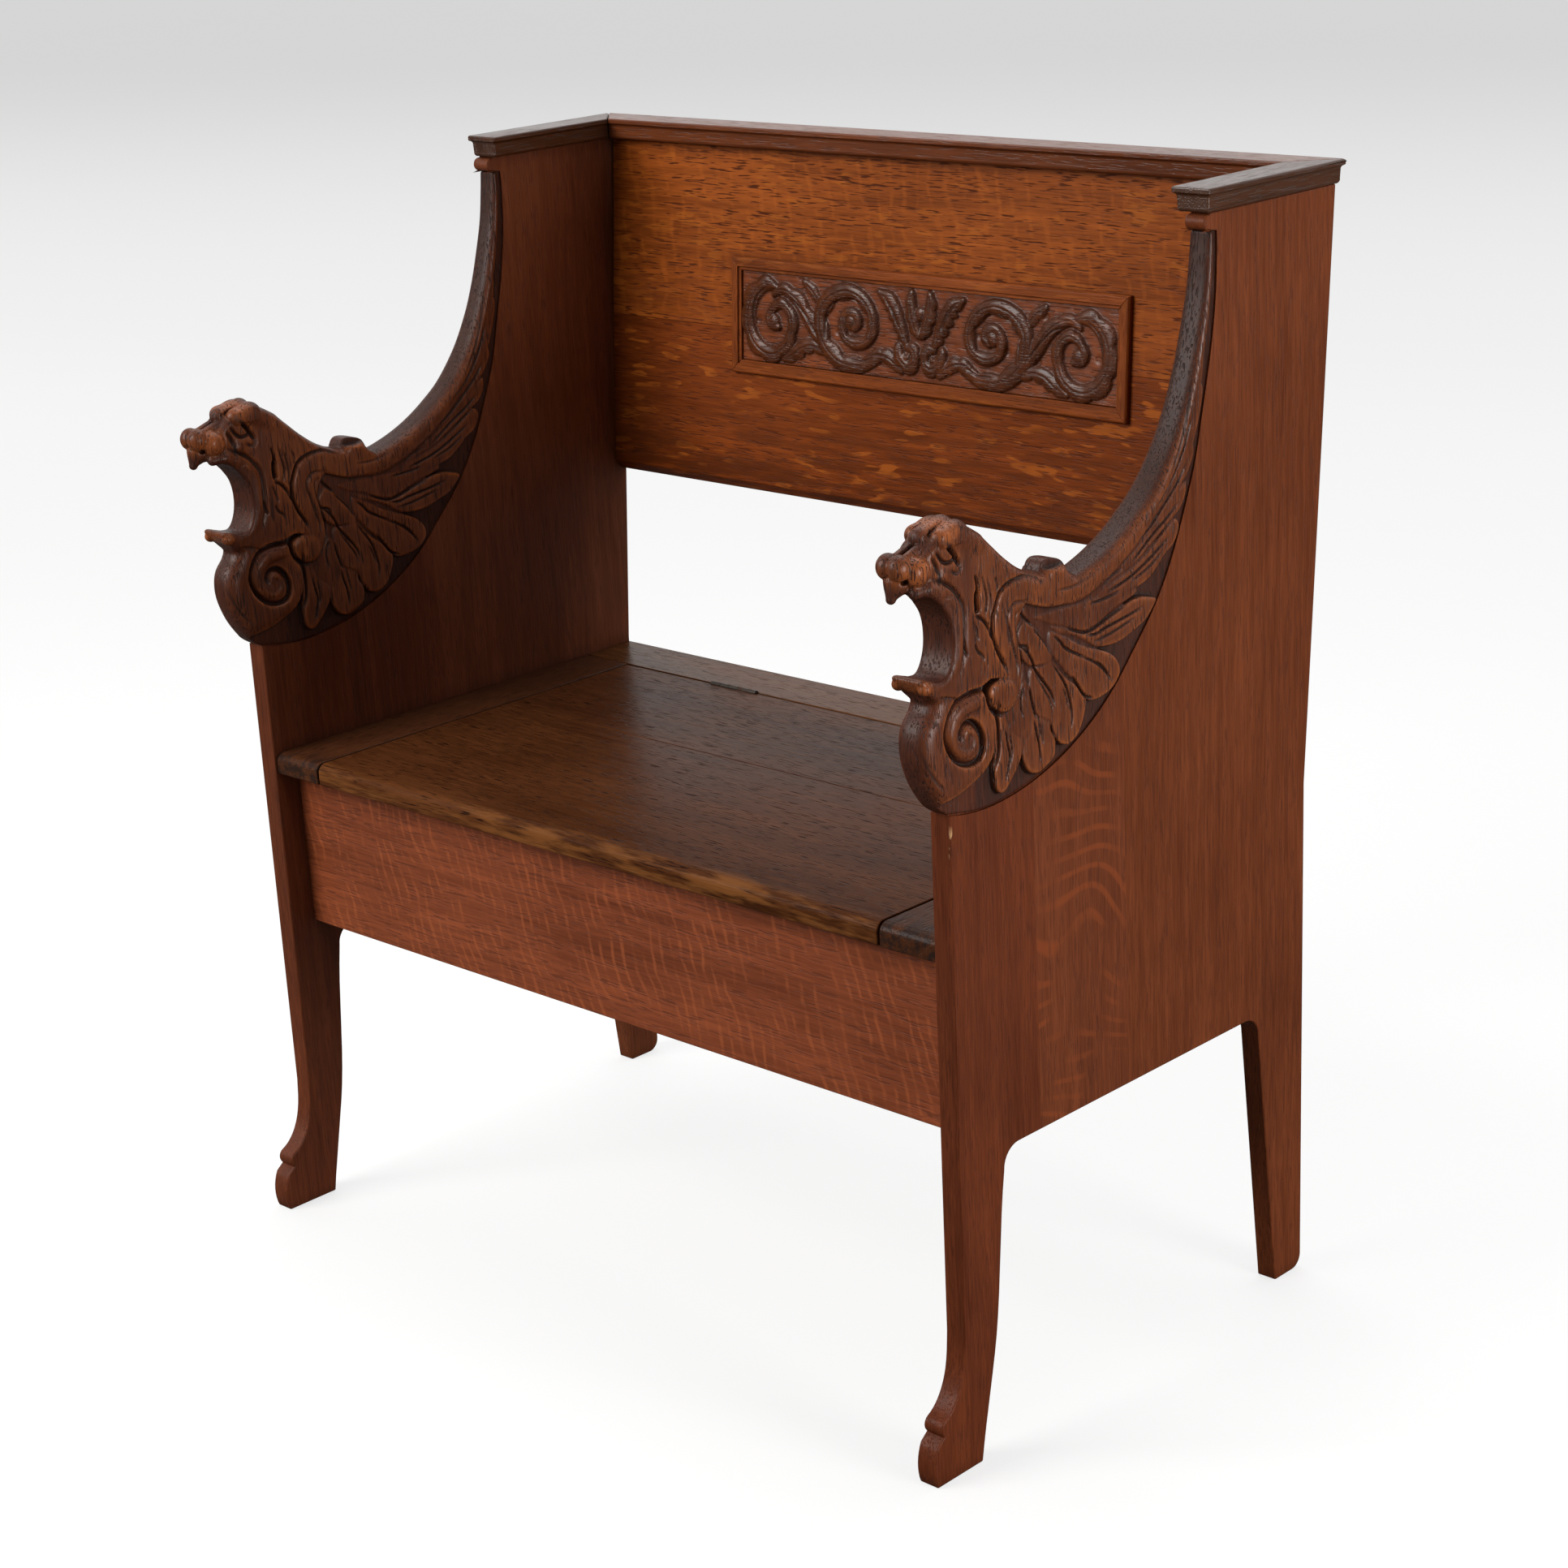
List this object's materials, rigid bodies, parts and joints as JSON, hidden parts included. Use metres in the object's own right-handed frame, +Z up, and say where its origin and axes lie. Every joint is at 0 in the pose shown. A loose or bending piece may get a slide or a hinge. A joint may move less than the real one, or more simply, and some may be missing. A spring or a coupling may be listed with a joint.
{
  "type": "storage hall bench",
  "caption": "Oak hall bench with a raked back, carved winged-lion arms, a carved back panel and a hinged seat lid over a storage box.",
  "frame": {"origin": "on the floor, at the middle of the bench's width and depth", "axes": "+Z up, -Y towards the sitter's front, +X to the right seen from the front"},
  "size_m": [0.9, 0.5655, 1.01],
  "materials": {
    "side_oak": "dark stained oak, satin varnish, worn",
    "back_oak": "quarter-sawn oak, warm brown varnish",
    "seat_oak": "dark oak, rubbed and scratched",
    "carved_oak": "carved oak, dark in the hollows, rubbed on the high places",
    "cap_oak": "moulded oak, dull varnish",
    "inner_wood": "bare softwood, unvarnished",
    "dowel_wood": "bare beech",
    "hinge_steel": "dark aged steel",
    "screw_steel": "plain steel, dulled"
  },
  "bodies": {
    "bench_frame": {"back_cap": "cap_oak", "back_dowels": "dowel_wood", "back_lower_board": "back_oak", "back_upper_board": "back_oak", "bearer_left": "inner_wood", "bearer_right": "inner_wood", "bearer_screws": "screw_steel", "box_back": "inner_wood", "box_dowels": "dowel_wood", "cap_dowels": "dowel_wood", "carved_panel": "carved_oak", "floor_board_1": "inner_wood", "floor_board_2": "inner_wood", "floor_board_3": "inner_wood", "floor_cleat_front": "inner_wood", "floor_cleat_left": "inner_wood", "floor_cleat_rear": "inner_wood", "floor_cleat_right": "inner_wood", "front_apron": "side_oak", "glue_block_left": "inner_wood", "glue_block_right": "inner_wood", "hinge_fixed_leaves": "hinge_steel", "hinge_fixed_screws": "screw_steel", "hinge_pins": "hinge_steel", "left_cap": "cap_oak", "left_front_board": "side_oak", "left_inner_carving": "carved_oak", "left_middle_board": "side_oak", "left_outer_carving": "carved_oak", "left_rear_board": "side_oak", "panel_frame_bottom": "back_oak", "panel_frame_left": "back_oak", "panel_frame_right": "back_oak", "panel_frame_top": "back_oak", "rail_cleat": "inner_wood", "rail_screws": "screw_steel", "right_cap": "cap_oak", "right_front_board": "side_oak", "right_inner_carving": "carved_oak", "right_middle_board": "side_oak", "right_outer_carving": "carved_oak", "right_rear_board": "side_oak", "seat_left_strip": "seat_oak", "seat_rear_rail": "seat_oak", "seat_right_strip": "seat_oak"},
    "seat_lid": {"hinge_lid_leaves": "hinge_steel", "hinge_lid_screws": "screw_steel", "lid_batten_left": "inner_wood", "lid_batten_right": "inner_wood", "lid_batten_screws": "screw_steel", "lid_front_board": "seat_oak", "lid_rear_board": "seat_oak"}
  },
  "joints": [
    {"name": "lid_hinge", "type": "hinge", "parent": "bench_frame", "child": "seat_lid", "pos_m": [0, 0.173, 0.47], "axis": [-1, 0, 0], "range_deg": [0, 98]}
  ]
}
